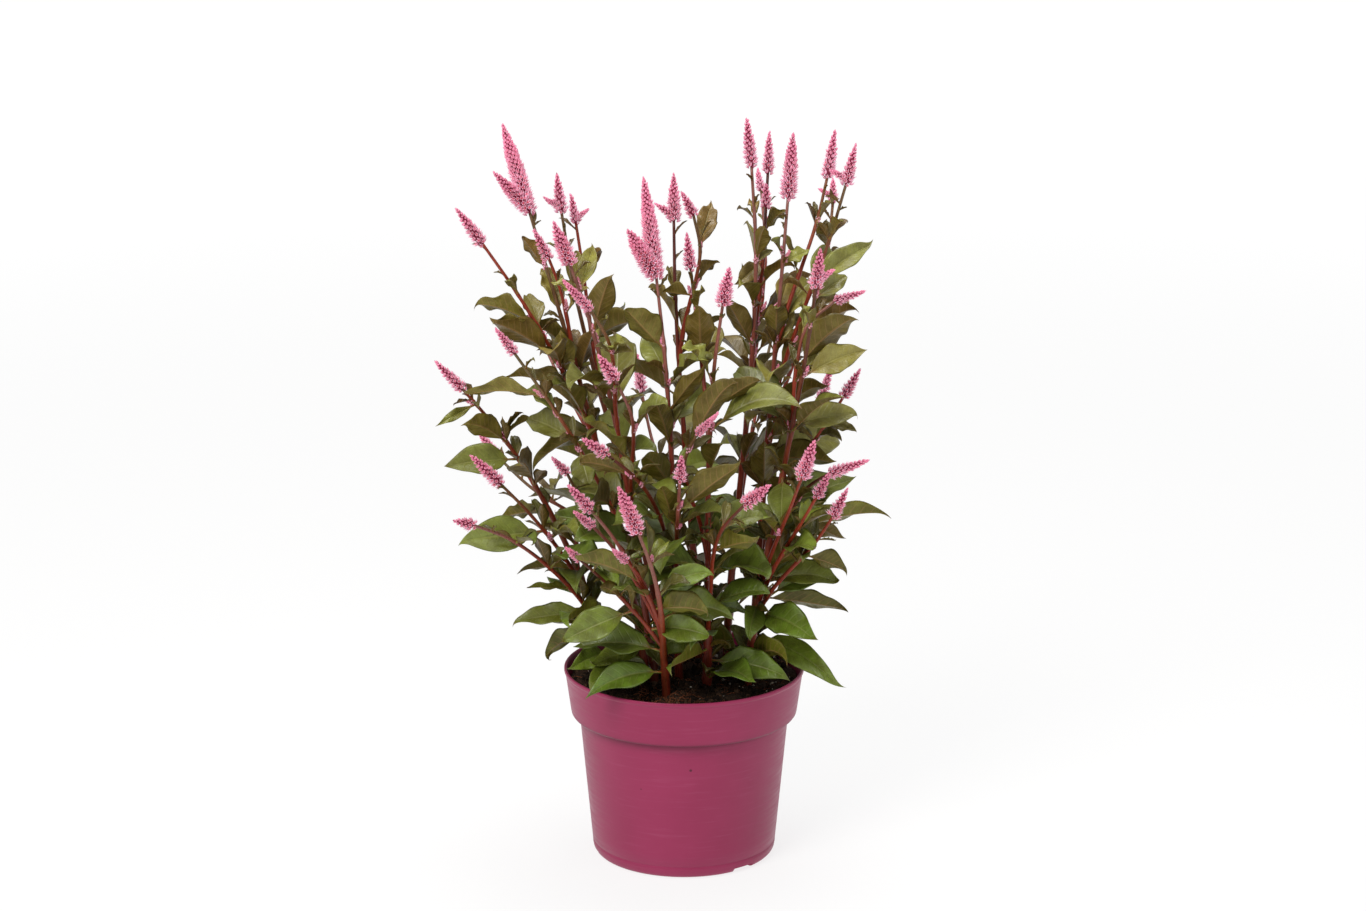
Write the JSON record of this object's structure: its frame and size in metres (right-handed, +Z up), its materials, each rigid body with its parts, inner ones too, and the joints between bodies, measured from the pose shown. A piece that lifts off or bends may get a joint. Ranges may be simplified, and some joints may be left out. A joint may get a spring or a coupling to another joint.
{
  "type": "potted plume celosia",
  "caption": "Bushy feather celosia with slim pink flower spikes on red stems with pointed leaves, in a magenta plastic nursery pot.",
  "frame": {"origin": "centre of the pot's underside, on the ground", "axes": "+Z up along the pot's axis, -Y towards the front of the plant, +X to the right seen from the front"},
  "size_m": [0.3544, 0.3668, 0.5848],
  "materials": {
    "pot_plastic": "smooth, satin",
    "soil": "rough, crumbly potting mix",
    "foliage": "soft satin leaves on red-brown stems",
    "petals": "dry, papery florets"
  },
  "bodies": {
    "root": {"pot": "pot_plastic", "soil": "soil", "stem_left_tall": "foliage", "stem_left_back": "foliage", "stem_left_front": "foliage", "stem_left_low": "foliage", "stem_middle": "foliage", "stem_middle_back": "foliage", "stem_middle_front": "foliage", "stem_right_back": "foliage", "stem_right": "foliage", "stem_right_front": "foliage", "stem_front_low": "foliage", "spike_left_tall_1": "petals", "spike_left_tall_2": "petals", "spike_left_tall_3": "petals", "spike_left_back_1": "petals", "spike_left_back_2": "petals", "spike_left_back_3": "petals", "spike_left_back_4": "petals", "spike_left_front_1": "petals", "spike_left_front_2": "petals", "spike_left_front_3": "petals", "spike_left_front_4": "petals", "spike_left_low_1": "petals", "spike_left_low_2": "petals", "spike_left_low_3": "petals", "spike_left_low_4": "petals", "spike_middle_1": "petals", "spike_middle_2": "petals", "spike_middle_3": "petals", "spike_middle_back_1": "petals", "spike_middle_back_2": "petals", "spike_middle_back_3": "petals", "spike_middle_front_1": "petals", "spike_middle_front_2": "petals", "spike_middle_front_3": "petals", "spike_middle_front_4": "petals", "spike_right_back_1": "petals", "spike_right_back_2": "petals", "spike_right_back_3": "petals", "spike_right_back_4": "petals", "spike_right_back_5": "petals", "spike_right_1": "petals", "spike_right_2": "petals", "spike_right_3": "petals", "spike_right_4": "petals", "spike_right_5": "petals", "spike_right_front_1": "petals", "spike_right_front_2": "petals", "spike_right_front_3": "petals", "spike_right_front_4": "petals", "spike_right_front_5": "petals", "spike_right_front_6": "petals", "spike_right_front_7": "petals", "spike_front_low_1": "petals", "spike_front_low_2": "petals", "spike_front_low_3": "petals", "spike_front_low_4": "petals", "spike_front_low_5": "petals"}
  },
  "joints": []
}
